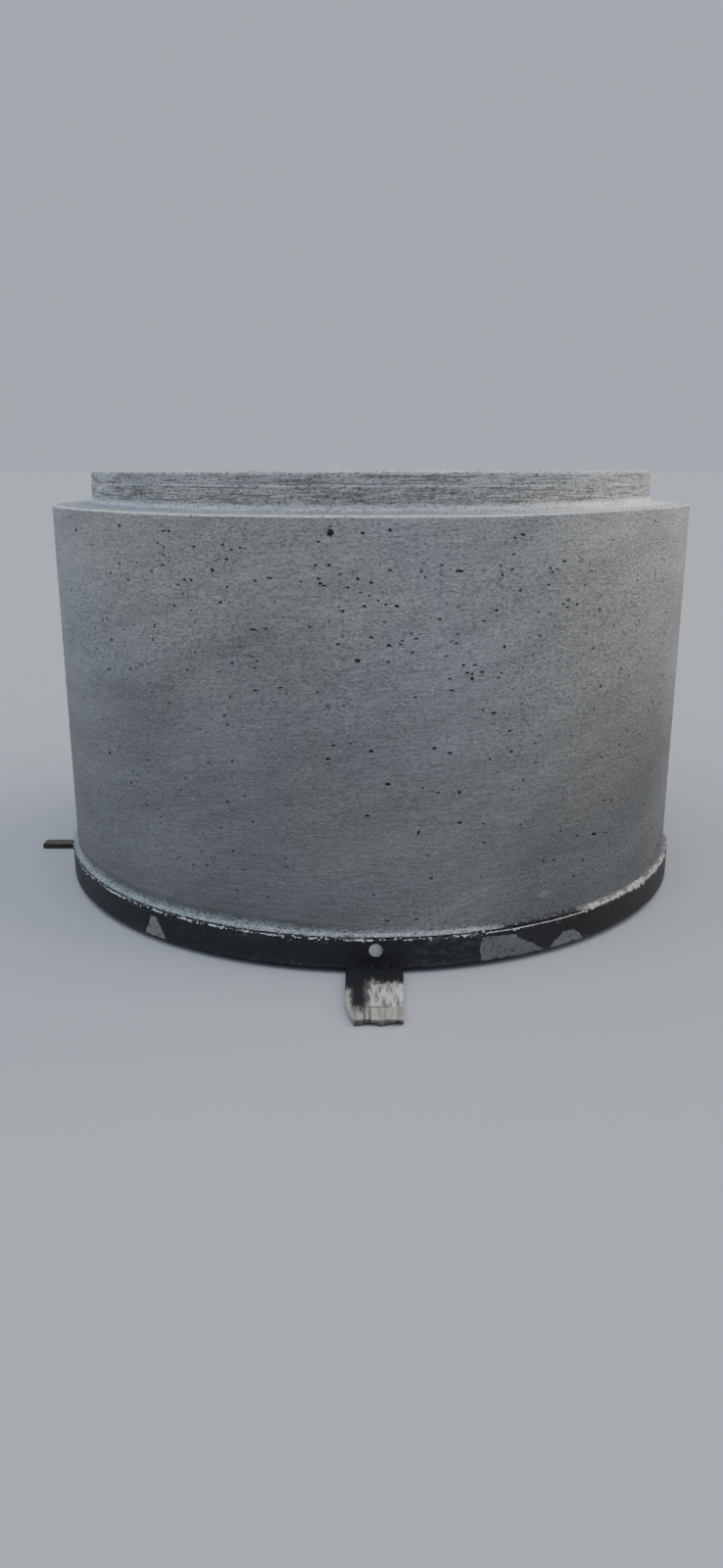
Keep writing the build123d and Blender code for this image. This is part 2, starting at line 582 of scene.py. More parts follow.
def air_holes(models):
    """The seen holes at their places, and clusters like them over all sides."""
    random.seed(SEED)
    cutters = []

    def hole(angle, height, radius, width, tall):
        depth = min(width, tall) * random.uniform(0.5, 0.75)
        place = on_wall(angle, height, radius)
        number = len(cutters)
        model = models[number % LARGE_LUMPS] if width > SMALL_HOLE else small_model(models, number)
        cutters.append(lump(model, place, (width / 2, depth, tall / 2)))

    def measured_holes(seen, radius):
        for x, y, width, tall in seen:
            angle, height = seen_on_wall(x, y, radius)
            hole(angle, height, radius, width * BROKEN_EDGE / 1000, tall * BROKEN_EDGE / 1000)

    measured_holes(HOLES_SEEN, BARREL)
    for x, y in SMALL_HOLES_SEEN:
        angle, height = seen_on_wall(x, y, BARREL)
        width = random.uniform(0.010, 0.014)
        hole(angle, height, BARREL, width, width * random.uniform(0.6, 0.9))
    measured_holes(SPIGOT_HOLES_SEEN, SPIGOT)
    for _ in range(HOLE_CLUSTERS):
        middle = random.uniform(-math.pi, math.pi)
        level = random.uniform(0.06, SHOULDER - 0.04)
        hidden = abs(middle) > math.radians(60)
        for _ in range(random.randint(3, 8) if hidden else 2):
            angle = middle + random.gauss(0, 0.06)
            height = min(max(level + random.gauss(0, 0.05), 0.04), SHOULDER - 0.03)
            width = random.uniform(0.007, 0.020 if hidden else 0.012)
            hole(angle, height, BARREL, width, width * random.uniform(0.5, 1.0))
    return joined("air_hole_cutters", cutters)


def concrete_pipe(models):
    pipe = turned("pipe_concrete", pipe_outline(), PIPE_STEPS)
    for vertex in pipe.data.vertices:
        vertex.co = weathered(vertex.co)
    edit(pipe)
    bpy.ops.mesh.quads_convert_to_tris()
    leave_edit()
    cutters = air_holes(models)
    cut = pipe.modifiers.new("air_holes", "BOOLEAN")
    cut.operation = "DIFFERENCE"
    cut.solver = "MANIFOLD"
    cut.object = cutters
    apply_modifiers(pipe)
    bpy.data.objects.remove(cutters)
    smooth(pipe, 25)
    finished(pipe, cast_concrete(), "concrete", "concrete_pipe")


# The stretch of the ledge, across the front, where no mortar lies on the black steel
BARE_LEDGE = (0.44, 0.72)

# Light rubbed marks seen on the barrel: pixel across, pixel down, half width and half height in metres
RUBBED_MARKS = (
    (375, 715, 0.012, 0.035),
    (385, 912, 0.010, 0.040),
    (520, 795, 0.004, 0.045),
    (555, 912, 0.040, 0.018),
    (119, 845, 0.010, 0.040),
    (360, 708, 0.030, 0.020),
    (306, 572, 0.060, 0.016),
    (322, 562, 0.040, 0.014),
)


def rubbed_marks(place):
    """1 in the middle of each rubbed mark, fading to 0 at its edge."""
    total = 0.0
    for x, y, width, tall in RUBBED_MARKS:
        spot = on_wall(*seen_on_wall(x, y, BARREL), BARREL)
        scale = (1 / width, 1 / width, 1 / tall)
        shift = tuple(-spot[i] * scale[i] for i in range(3))
        ball = stretched(place, scale, shift)
        reach = length_of(ball)
        total = calc("ADD", total, between(reach, 1.0, 0.1))
    return calc("MINIMUM", total, 1.0)


def cast_concrete():
    """Fresh grey concrete, struck and dragged by hand: dull, finely ridged and pitted, less rough at the
    foot, where painted shade darkens it.
    """
    material, place = new_finish("cast_concrete")
    axes = parts_of(place)
    across = axes[0]
    height = axes[2]
    radius = length_of(stretched(place, (1, 1, 0)))

    # Trowel sweeps rise a little to the right, so the pattern's height is leant over and waved
    sway = grains(place, 1.6, 2.0)
    lean = weighted((across, -0.08), (sway, 0.09), (height, 1.0))
    swept = built_from(across, axes[1], lean)
    steep = weighted((across, -0.34), (sway, 0.30), (height, 1.0))
    swung = built_from(across, axes[1], steep)
    ridges = streaks(swept, (9, 9, 95), 5.0, 0.62)
    flecks = streaks(swept, (46, 46, 150), 4.0, 0.65)
    crumbs = streaks(swept, (88, 88, 125), 3.0, 0.68)
    sand = grains(place, 420.0, 2.0, 0.6)
    sweeps = streaks(swung, (1.4, 1.4, 10), 4.0, 0.6)
    blotches = grains(place, 1.5, 4.0, 0.55)
    tints = streaks(place, (1, 1, 1), 3.0, 0.5, shift=(5, 2, 7))
    rough_zone = between(grains(stretched(place, (1, 1, 1), (2, 9, 4)), 2.2, 3.0), 0.4, 0.62)
    cells = next_node("ShaderNodeTexVoronoi", {"Vector": stretched(swept, (21, 21, 33)), "Scale": 1.0})
    chance = next_node("ShaderNodeSeparateColor", {0: cells.outputs["Color"]}).outputs[0]
    near_pit = weighted((cells.outputs["Distance"], 1.0), (chance, 0.75))
    # Painted shade: the pits darken the colour as well as sinking the relief
    pits = between(near_pit, 0.22, 0.12)

    # Zones by height, radius and side
    level = height
    for first, last, rise in SHOULDER_RISES:
        level = calc("SUBTRACT", level, times(between(across, first, last), rise))
    barrel = between(radius, SPIGOT + 0.02, BARREL - 0.004)
    spigot = calc("SUBTRACT", 1.0, barrel)
    outer = between(radius, SPIGOT - 0.030, SPIGOT - 0.012)
    # Painted shade and dampness: 1 near the foot, 0 high up
    foot_shade_and_damp = between(height, 1.45, 0.30)
    raw = between(height, 0.10, 1.10)
    right = between(across, 0.30, 1.20)
    # Paler and warmer on the upper right: drier concrete, and painted warm light from the right
    dry_and_lit_right = times(right, between(height, 0.35, 1.30))
    shelf = times(spigot, band(level, SHOULDER - 0.02, SHOULDER + 0.026, 0.008), outer)
    uneven_height = weighted((height, 1.0), (crumbs, 0.020), (1.0, -0.010))
    lip = between(uneven_height, TOP - 0.013, TOP - 0.004)
    lip = calc("MULTIPLY", lip, weighted((outer, 0.70), (ridges, 0.55)), True)
    wall = calc("GREATER_THAN", radius, (SPIGOT + BARREL) / 2)
    wall = times(wall, calc("LESS_THAN", height, SHOULDER - 3 * ARRIS))
    # Painted shade inside the air holes
    hole_shade = times(wall, between(radius, BARREL - 0.0014, BARREL - 0.0032))
    scratches = streaks(place, (8, 8, 165), 3.0, 0.65, 0.2)
    brushed = streaks(place, (10, 10, 175), 4.0, 0.70, 0.2, shift=(2, 6, 1))
    scratched = times(spigot, between(scratches, 0.52, 0.62))
    # Painted highlight on the up-facing lower lips of the air holes
    hole_lip_highlight = times(hole_shade, between(facing(place, "True Normal")[2], 0.40, 0.65))

    # Parts of the barrel that are a little darker or paler in the photograph
    # Painted shade: the top of the barrel's middle a little darker
    middle = times(band(across, -0.40, 0.45, 0.25), between(height, 0.85, 1.20))
    # Painted light: the far left side a little paler
    painted_light_far_left = between(across, -0.75, -1.15)
    left_middle = times(band(across, -0.98, -0.58, 0.20), band(height, 0.42, 0.80, 0.14))
    left_upper = times(band(across, -0.56, -0.24, 0.12), band(height, 0.88, 1.10, 0.09))
    left_foot = times(between(across, 0.0, -0.20), between(height, 0.20, 0.06))
    # Painted shade: the lower right a little darker and cooler
    painted_shade_right_foot = times(band(across, 0.45, 1.0, 0.12), between(height, 0.45, 0.25))
    # Painted light: the right rim paler, as if lit by light thrown back from the floor
    painted_light_right_rim = times(between(across, 1.00, 1.16), between(height, 0.98, 0.72), between(height, 0.02, 0.20))

    # Pale edges, with a painted highlight along the shoulder's arris, the spigot's clean top band, the toe,
    # and the dents, darkened by painted shade
    seam = band(height, TOP - SPIGOT_BAND - 0.004, TOP - SPIGOT_BAND + 0.001, 0.002)
    seam = times(seam, times(outer, between(crumbs, 0.36, 0.52)))
    # Painted highlight: a pale ragged line along the shoulder's arris
    edge = band(level, SHOULDER - 0.005, SHOULDER + 0.006, 0.0025)
    edge = times(edge, between(radius, BARREL - 0.016, BARREL - 0.008), between(crumbs, 0.28, 0.50))
    top_band = times(outer, between(height, TOP - 0.050, TOP - 0.040))
    long_stains = streaks(place, (4, 4, 42), 4.0, 0.62, 0.2, shift=(3, 1, 2))
    toe = between(uneven_height, 0.014, 0.004)
    front_half = calc("LESS_THAN", axes[1], 0.0)
    bare_ledge = times(toe, band(across, *BARE_LEDGE, 0.02), front_half)
    # Painted shade in the dents, which also sink the relief
    dents = between(crumbs, 0.44, 0.32)
    dents = times(dents, weighted((raw, 0.45), (rough_zone, 0.35), (spigot, 0.5), (1.0, 0.15)))

    # Colour: the concrete's own, then shades and coats one after another
    cool = grey(0.320, 0.965, 1.018)
    olive = grey(0.324, 0.995, 0.970)
    # Painted warm light: the tint leans warm towards the right
    warm_lit_side = between(across, 0.1, 0.9)
    warmth = weighted((tints, 1.0), (warm_lit_side, 0.20), (foot_shade_and_damp, -0.14), (painted_shade_right_foot, -0.12))
    colour = blend(between(warmth, 0.38, 0.62), cool, olive)
    colour = laid(colour, (dry_and_lit_right, 0.75, grey(0.405, 1.03, 0.93)))
    colour = shaded(
        colour,
        (middle, 1.0, 0.91),
        (painted_light_far_left, 1.0, 1.08),
        (left_middle, 1.0, 0.82),
        (left_upper, 1.0, 0.88),
        (left_foot, 1.0, 0.86),
        (painted_shade_right_foot, 1.0, 0.88),
        (painted_light_right_rim, 1.0, 1.36),
        (blotches, 0.80, 1.20),
        (sweeps, 0.70, 1.30),
        (ridges, 0.70, 1.30),
        (flecks, 0.52, 1.48),
        (crumbs, 0.62, 1.38),
        (sand, 0.70, 1.30),
        (dents, 1.0, 0.80),
        (pits, 1.0, 0.36),
        # Painted shade: darker towards the foot, most on the right
        (times(foot_shade_and_damp, weighted((1.0, 0.455), (right, 0.21))), 1.0, 0.0),
        (spigot, 1.0, 1.35),
    )
    gritty = weighted((times(spigot, outer), 0.30), (raw, 0.16), (right, 0.34))
    grit = times(gritty, calc("SUBTRACT", crumbs, 0.5))
    brush = times(spigot, outer, calc("SUBTRACT", brushed, 0.5))
    colour = shaded(
        colour,
        (weighted((grit, 0.9), (1.0, 0.5)), 0.0, 2.0),
        (weighted((brush, 1.3), (1.0, 0.5)), 0.0, 2.0),
    )
    colour = laid(
        colour,
        (scratched, 0.40, grey(0.085, 1.07, 0.90)),
        (times(spigot, outer, between(long_stains, 0.50, 0.66)), 0.38, grey(0.14, 1.06, 0.92)),
        (times(top_band, between(long_stains, 0.62, 0.42)), 0.42, grey(0.50, 0.94, 1.07)),
    )

    # The pale splash along the foot, with a darker line above it
    splash_edge = weighted(
        (height, 1.0),
        (crumbs, -0.060),
        (flecks, -0.020),
        (sweeps, -0.020),
        (between(across, -0.40, 0.0), 0.009),
    )
    splashed = times(between(splash_edge, -0.020, -0.041), between(across, 0.46, 0.32))
    above_splash = times(band(splash_edge, -0.018, -0.004, 0.006), left_foot)
    colour = shaded(colour, (above_splash, 1.0, 0.78))
    speckles = weighted((between(crumbs, 0.38, 0.51), 0.48), (1.0, 0.36))
    splash_colour = blend(between(across, -0.75, -0.20), grey(0.37, 0.79, 1.14), grey(0.40, 0.93, 1.05))
    colour = blend(times(splashed, speckles), colour, splash_colour)
    # Painted shade: the toe's up-facing top darkened against the sky light, less so towards the right
    toe_shade = weighted((between(across, 0.10, 0.30), -0.20), (1.0, 0.24))
    colour = shaded(colour, (times(toe, toe_shade), 1.0, 0.0))
    marks = times(rubbed_marks(place), between(ridges, 0.3, 0.6))
    colour = laid(colour, (marks, 0.35, grey(0.33, 0.95, 1.04)))

    # Cement milk on the shoulder, what is pale or bare, and painted shade inside the air holes with a painted
    # highlight on their lower lips
    milk = times(shelf, between(crumbs, 0.18, 0.47))
    milk_colour = blend(between(across, -0.25, -0.90), grey(0.62, 0.94, 1.08), grey(0.66, 0.86, 1.19))
    # Whiter towards the right: drier cement milk, and painted light from the right
    milk_colour = blend(between(across, 0.12, 0.90), milk_colour, grey(0.95, 1.0, 0.98))
    # Painted shade: the up-facing flat part darkened against the sky light, less so towards the right
    flat_part = between(level, SHOULDER + 0.016, SHOULDER + 0.003)
    flat_shade = weighted((1.0, 0.47), (between(across, 0.3, 0.9), -0.34))
    milk_colour = shaded(
        milk_colour,
        (times(flat_part, flat_shade), 1.0, 0.0),
        (ridges, 0.80, 1.20),
        (crumbs, 0.65, 1.35),
    )
    milk = times(milk, weighted((1.0, 0.86), (right, 0.14)))
    colour = blend(milk, colour, milk_colour)
    speckled_toe = times(toe, between(crumbs, 0.30, 0.62))
    pale = largest(times(lip, 0.85), times(seam, 0.45), edge, times(speckled_toe, 0.18))
    colour = blend(pale, colour, grey(0.72, 0.96, 1.04))
    colour = blend(bare_ledge, colour, grey(0.025, 0.95, 1.1))
    colour = laid(shaded(colour, (hole_shade, 1.0, 0.30)), (hole_lip_highlight, 0.9, grey(0.40, 0.94, 1.05)))

    # Relief in millimetres, and roughness
    coarse = weighted((raw, 1.0), (rough_zone, 1.3), (spigot, 1.6), (1.0, 0.5))
    relief = weighted(
        (ridges, 2.6),
        (flecks, 3.0),
        (times(flecks, raw), 1.8),
        (times(crumbs, coarse), 2.8),
        (sand, 0.8),
        (pits, -3.0),
        (dents, -1.0),
        (scratched, -2.0),
    )
    roughness = weighted((foot_shade_and_damp, -0.14), (ridges, 0.15), (1.0, 0.80))
    return finish_material(material, colour, roughness, relief)


# Mortar squeezed out over the ring's edge


def mortar(name, level, red=0.98, blue=1.02, left=1.0, stained=0.0, fringe=0.0):
    """Dry crumbly mortar, dimmer on the left, with painted shade in its hollows, and stained by a share that
    may grow at its hanging edge.
    """
    material, place = new_finish(name)
    clots = grains(place, 70.0, 4.0, 0.65)
    sand = grains(place, 420.0, 2.0, 0.6)
    stains = grains(place, 9.0, 3.0, 0.6)
    # Painted shade in the mortar's hollows, which also sink the relief
    hollows = between(clots, 0.44, 0.33)
    axes = parts_of(place)
    colour = shaded(
        grey(level, red, blue),
        (clots, 0.55, 1.45),
        (sand, 0.80, 1.20),
        (stains, 0.70, 1.30),
        (hollows, 1.0, 0.5),
        (between(axes[0], 0.70, 0.40), 1.0, left),
    )
    dirt = between(grains(place, 58.0, 4.0, 0.65), 0.50, 0.56)
    rusty = between(grains(stretched(place, (1, 1, 1), (8, 3, 1)), 23.0, 3.0), 0.48, 0.60)
    dirt_colour = blend(rusty, grey(0.030, 1.0, 0.95), (0.105, 0.052, 0.026, 1))
    share = weighted((between(axes[2], -0.003, -0.010), fringe), (1.0, stained))
    colour = blend(times(dirt, share), colour, dirt_colour)
    relief = weighted((clots, 3.0), (sand, 0.6), (hollows, -1.0))
    return finish_material(material, colour, 0.9, relief)


# Where the full crust starts at the right, in degrees from the front
CRUST_STARTS = (34, 38)


def crust_reach(angle):
    """How far the mortar hangs over the ring at an angle from the front: 0 is none, 1 is fully."""
    degrees = math.degrees(angle)
    place = on_wall(angle, 0, 1)
    ragged = rough(place, 11, 3)
    teeth = rough(place + Vector((4, 0, 0)), 95, 3)
    broken = smooth_step(-0.1, 0.2, rough(place + Vector((0, 7, 0)), 55, 3))
    left = 1 - smooth_step(-0.6, 0.2, degrees)
    right = smooth_step(*CRUST_STARTS, degrees)
    gap = (1 - left) * (1 - right)
    behind = smooth_step(62, 80, abs(degrees))
    reach = left * (0.20 + 0.30 * broken * broken + 0.30 * max(teeth, 0))
    reach += right * (0.64 + 0.18 * ragged + 0.34 * teeth)
    reach += gap * (0.16 + 0.5 * broken * max(teeth, 0))
    reach = reach * (1 - behind) + behind * (0.45 + 0.5 * ragged + 0.3 * teeth)
    return min(max(reach, 0.08), 1.35)


def toe_crust():
    """A ragged bead of mortar round the toe, which hangs over the ring's edge here and there."""
    outline = [
        (BARREL + 0.004, 0.0092),
        (TOE - 0.004, 0.0068),
        (RING - 0.001, 0.0042),
        (RING + 0.0022, 0.0008),
        (RING + 0.0034, -0.0045),
        (RING + 0.0034, -0.0095),
        (RING + 0.0022, -0.0140),
        (RING - 0.0008, -0.0120),
        (RING - 0.0040, -0.0030),
        (BARREL + 0.006, 0.0010),
    ]
    tucked = Vector((TOE - 0.007, 0, 0.0016))
    crust = turned("toe_mortar_crust", outline, CRUST_STEPS)
    for vertex in crust.data.vertices:
        point = vertex.co
        angle = angle_of(point)
        radius = math.hypot(point.x, point.y)
        reach = crust_reach(angle)
        hang = smooth_step(0.002, -0.012, point.z)
        out = tucked.x + (radius - tucked.x) * min(reach, 1.1)
        rise = tucked.z + (point.z - tucked.z) * reach * (1 - 0.3 * hang * max(rough(point, 75, 2), 0))
        clotted = 0.0009 + 0.0006 * smooth_step(*CRUST_STARTS, math.degrees(angle))
        out += clotted * rough(point, 105, 4)
        rise += clotted * rough(point + Vector((0, 0, 3)), 90, 4)
        vertex.co = on_wall(angle, rise, out)
    smooth(crust, 50)
    finished(crust, mortar("pale_mortar", 0.48, 1.02, 0.95, 0.54, 0.22, 0.50), "concrete")


# The white pieces of mortar seen below the ring's top edge: first and last pixel across, and thickness
BEAD_PIECES_SEEN = (
    (104, 108, 0.5), (112, 128, 1.1), (136, 141, 0.6), (155, 166, 0.8), (180, 196, 0.9), (213, 228, 1.0),
    (242, 258, 0.6), (262, 290, 0.6), (299, 306, 0.7), (314, 321, 0.8), (332, 337, 0.7), (350, 381, 1.1),
    (414, 422, 1.1), (465, 468, 1.0), (472, 479, 0.7), (499, 502, 0.8),
)


# The broken bead's height on the ring's side, and its radius
BEAD_HEIGHT = -0.0082
BEAD_RADIUS = 0.0032


def bead_reach(angle, pieces_seen):
    """How much of the broken bead below the ring's top edge there is at an angle from the front."""
    degrees = math.degrees(angle)
    place = on_wall(angle, 0, 1)
    pieces = smooth_step(0.0, 0.25, rough(place + Vector((0, 2, 6)), 52, 3))
    teeth = rough(place + Vector((9, 0, 1)), 120, 3)
    soft = math.radians(0.15)
    share = 0.38 * pieces * (1 - smooth_step(-2, 1, degrees))
    share += 0.8 * pieces * smooth_step(66, 80, degrees)
    for first, last, thickness in pieces_seen:
        seen = plateau(angle, first - soft, first + soft, last - soft, last + soft)
        share = max(share, seen * thickness)
    return min(max(share * (1 + 0.6 * teeth), 0), 1.5)


def rim_bead():
    """A broken bead of mortar stuck on the ring's side, just under its rounded top edge."""
    outline = arc((RING + 0.0004, BEAD_HEIGHT), BEAD_RADIUS, 0, 315, 7)
    bead = turned("rim_mortar_bead", outline, CRUST_STEPS)
    pieces_seen = []
    for first, last, thickness in BEAD_PIECES_SEEN:
        pieces_seen.append((edge_angle(first), edge_angle(last), thickness))
    for vertex in bead.data.vertices:
        point = vertex.co
        angle = angle_of(point)
        radius = math.hypot(point.x, point.y)
        reach = bead_reach(angle, pieces_seen)
        drop = 0.0022 * rough(Vector((point.x, point.y, 2)), 30, 3)
        out = RING - 0.0026 + (radius - RING + 0.0030) * reach * 0.75 + 0.0006 * rough(point, 140, 2)
        height = BEAD_HEIGHT + drop + (point.z - BEAD_HEIGHT) * (0.25 + 0.85 * reach)
        height += 0.0006 * rough(point, 130, 2)
        vertex.co = on_wall(angle, height, out)
    smooth(bead, 50)
    finished(bead, mortar("white_bead_mortar", 0.60, stained=0.75), "concrete")


def strewn(name, models, seed, count, seen, sizes, lie, material):
    """Crumbs over all sides, every other one in the seen stretch, each lying and shaped as lie says."""
    random.seed(seed)
    crumbs = []
    for number in range(count):
        angle = random.uniform(-math.pi, math.pi)
        if number % 2:
            angle = random.uniform(math.radians(seen[0]), math.radians(seen[1]))
        size = random.uniform(*sizes)
        place, shape = lie(angle, size)
        crumbs.append(lump(small_model(models, number), place, shape))
    piece = joined(name, crumbs)
    smooth(piece, 60)
    finished(piece, material, "concrete")


def toe_crumb(angle, size):
    """Where a loose crumb lies, on the ring's side or on its ledge, and its half sizes."""
    if random.random() < 0.5:
        place = on_wall(angle, random.uniform(-0.013, -0.001), RING + 0.0006)
    else:
        place = on_wall(angle, TOE_EDGE + 0.003, random.uniform(TOE - 0.008, RING - 0.001))
    return place, (size * random.uniform(0.8, 2.2), size, size * random.uniform(0.6, 1.2))


def rim_crumb(angle, size):
    """Where a crumb of cement stands on the spigot's outer top edge, and its half sizes."""
    place = on_wall(angle, TOP - 0.0030, random.uniform(SPIGOT - 0.014, SPIGOT - 0.007))
    return place, (size * random.uniform(1.0, 3.0), size * 1.3, 0.0020 + size * random.uniform(0.2, 1.0))


def all_crumbs(models):
    """Loose crumbs of mortar along the ring's edge, and cement left standing on the spigot's rim."""
    white = mortar("white_mortar", 0.56, stained=0.6)
    cement = mortar("rim_cement", 0.44, 0.96, 1.05)
    seen = (-65, 20)
    strewn("toe_mortar_crumbs", models, SEED + 1, 520, seen, (0.0012, 0.0038), toe_crumb, white)
    seen = (-75, 75)
    strewn("rim_crumbs", models, SEED + 2, 170, seen, (0.0014, 0.0036), rim_crumb, cement)


def wall_coat(name, radius, corners, cell, thickness, ragged, material):
    """A thin ragged coat on a round wall, between four corners given as degrees from the front and height."""
    lower_left, lower_right, upper_right, upper_left = corners
    width = math.radians(abs(lower_right[0] - lower_left[0])) * radius
    tall = abs(upper_left[1] - lower_left[1])
    columns = max(int(width / cell), 4)
    rows = max(int(tall / cell), 2)
    deselect()
    bpy.ops.mesh.primitive_grid_add(x_subdivisions=columns, y_subdivisions=rows, size=1)
    coat = start(name)
    shift = Vector((lower_left[0], 0, 0))
    for vertex in coat.data.vertices:
        u = vertex.co.x + 0.5
        v = vertex.co.y + 0.5
        low = [lower_left[i] * (1 - u) + lower_right[i] * u for i in range(2)]
        high = [upper_left[i] * (1 - u) + upper_right[i] * u for i in range(2)]
        angle = math.radians(low[0] * (1 - v) + high[0] * v)
        height = low[1] * (1 - v) + high[1] * v
        place = on_wall(angle, height, radius) + shift
        angle += ragged / radius * rough(place, 26, 5)
        height += ragged * rough(place + Vector((0, 0, 5)), 30, 5)
        vertex.co = on_wall(angle, min(max(height, RING_BOTTOM + 0.0005), 0.004), radius)
    edit(coat)
    bpy.ops.mesh.normals_make_consistent(inside=False)
    leave_edit()
    middle = coat.data.polygons[len(coat.data.polygons) // 2]
    if middle.normal.dot(middle.center) < 0:
        edit(coat)
        bpy.ops.mesh.flip_normals()
        leave_edit()
    body = coat.modifiers.new("thickness", "SOLIDIFY")
    body.thickness = thickness
    body.offset = 1
    apply_modifiers(coat)
    smooth(coat, 40)
    finished(coat, material, "concrete")


def splashes():
    """Coats of dried slurry on the ring's black side, and the thin fin of mortar along its top edge."""
    slurry = mortar("dried_slurry", 0.19, 1.02, 0.96)
    damp_slurry = mortar("damp_slurry", 0.125, 0.95, 1.05)
    low = RING_BOTTOM + 0.001
    side = RING - 0.0003
    left = ((-39.5, low), (-34.8, low), (-36.6, -0.034), (-38.0, -0.034))
    middle = ((16.6, low), (28.0, low), (22.0, -0.024), (16.9, -0.019))
    right = ((29.0, low), (36.0, low), (34.0, -0.062), (31.5, -0.058))
    fin = ((17.5, -0.0080), (36.0, -0.0070), (36.0, -0.0040), (17.5, -0.0055))
    wall_coat("slurry_left", side, left, 0.003, 0.0010, 0.003, slurry)
    wall_coat("slurry_middle", side, middle, 0.003, 0.0010, 0.009, damp_slurry)
    wall_coat("slurry_right", side, right, 0.003, 0.0010, 0.008, damp_slurry)
    wall_coat("mortar_fin", RING + 0.0012, fin, 0.0015, 0.0016, 0.0006, mortar("fin_mortar", 0.50))


# Steel ring and its locating pin


def ring_steel():
    """Black steel, oiled and dusty, with smears of slurry, specks of rust and painted shade towards its
    right.
    """
    material, place = new_finish("oiled_black_steel")
    axes = parts_of(place)
    height = axes[2]
    wipes = streaks(place, (3, 3, 26), 5.0, 0.6, 0.4)
    mottles = streaks(place, (30, 30, 55), 5.0, 0.68, 0.3)
    smudged = band(axes[0], 0.14, 0.40, 0.05)
    drops = grains(place, 60.0, 4.0, 0.65)
    scale = grains(place, 190.0, 3.0, 0.6)
    rust_place = grains(place, 26.0, 4.0, 0.7)
    near_top = between(height, -0.035, -0.003)
    near_foot = between(height, RING_BOTTOM + 0.022, RING_BOTTOM)
    # Painted shade: the steel darker towards the right
    colour = shaded(
        grey(0.0125, 0.93, 1.12),
        (wipes, 0.55, 1.5),
        (scale, 0.7, 1.3),
        (between(axes[0], 0.45, 0.75), 1.0, 0.45),
    )
    smear = times(between(wipes, 0.56, 0.78), 0.10)
    colour = blend(smear, colour, grey(0.16, 0.97, 1.04))
    smudges = times(between(mottles, 0.42, 0.66), weighted((smudged, 0.13), (1.0, 0.035)))
    colour = blend(smudges, colour, grey(0.17, 0.95, 1.06))
    dust = times(near_foot, between(drops, 0.45, 0.7))
    spatter = times(near_top, between(drops, 0.60, 0.68))
    specks = times(near_top, between(rust_place, 0.62, 0.70))
    rust_colour = (0.10, 0.042, 0.016, 1)
    colour = laid(colour, (dust, 0.25, grey(0.20)), (spatter, 0.6, grey(0.30)), (specks, 0.7, rust_colour))
    relief = weighted((scale, 0.25), (drops, 0.35), (spatter, 0.5))
    roughness = weighted((wipes, 0.35), (dust, 0.3), (1.0, 0.38))
    return finish_material(material, colour, roughness, relief)


def coated_steel():
    """The pin's end, under a skin of dried cement that is darker to the right, with a ring of painted shade
    round its edge.
    """
    material, place = new_finish("cement_on_steel")
    low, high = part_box("locating_pin")
    middle = (low + high) / 2
    across = parts_of(place)[0]
    disc = stretched(place, (1, 0, 1), (-middle.x, 0, -middle.z))
    reach = length_of(disc)
    clots = grains(place, 110.0, 4.0, 0.65)
    ragged_reach = weighted((reach, 1.0), (clots, 0.004))
    # Painted shade: a dark ring round the pin's end, where its chamfer falls in shadow
    pin_rim_shade = between(ragged_reach, 0.0235, 0.0255)
    sand = grains(place, 500.0, 2.0)
    rows = streaks(place, (160, 1, 40), 3.0)
    stained = times(between(across, 0.010, 0.030), between(rows, 0.4, 0.55))
    colour = shaded(grey(0.36, 0.97, 1.02), (clots, 0.6, 1.4), (sand, 0.85, 1.15))
    colour = laid(colour, (stained, 0.75, grey(0.10, 1.1, 0.9)), (pin_rim_shade, 0.9, grey(0.02)))
    relief = weighted((clots, 1.2), (sand, 0.3))
    return finish_material(material, colour, 0.85, relief)


def locating_pin():
    """The round end of the pin in the ring's side, with a lumpy skin of cement."""
    low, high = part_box("locating_pin")
    radius = (high.z - low.z) / 2
    middle = (low + high) / 2
    deselect()
    bpy.ops.mesh.primitive_cylinder_add(
        vertices=48, radius=radius, depth=high.y - low.y, location=middle, rotation=(math.pi / 2, 0, 0)
    )
    pin = start("locating_pin_end")
    edit(pin)
    bpy.ops.mesh.select_all(action="DESELECT")
    leave_edit()
    for face in pin.data.polygons:
        face.select = face.normal.y < -0.9
    bpy.ops.object.mode_set(mode="EDIT")
    bpy.ops.mesh.inset(thickness=0.0015)
    for _ in range(6):
        bpy.ops.mesh.inset(thickness=0.0034)
    leave_edit()
    front = low.y
    for vertex in pin.data.vertices:
        point = vertex.co
        reach = math.hypot(point.x - middle.x, point.z - middle.z)
        if point.y < front + 0.001:
            rim = smooth_step(radius - 0.003, radius, reach)
            point.y += 0.0018 * rim + 0.0007 * rough(point, 90, 3)
    smooth(pin, 50)
    finished(pin, coated_steel(), "pin_steel", "locating_pin")


# Bearers under the ring


# Parts of the front board along Y, each from none to fully there, and the crack's distance from its end
WET_ENDS = (-1.392, -1.350)
WET_LEFT_ENDS = (-1.432, -1.400)
CEMENT_STARTS = (-1.368, -1.408)
SMEAR_STARTS = (-1.322, -1.362)
WORN_RIM_STARTS = (-1.410, -1.445)
CRUST_RISES = (-1.385, -1.405)
CRACK = 0.087


def rounded(point, low, high, radius):
    """A point of a box moved onto the same box with rounded edges."""
    inner = Vector([min(max(point[i], low[i] + radius), high[i] - radius) for i in range(3)])
    offset = point - inner
    if offset.length < 1e-9:
        return point
    return inner + offset.normalized() * radius


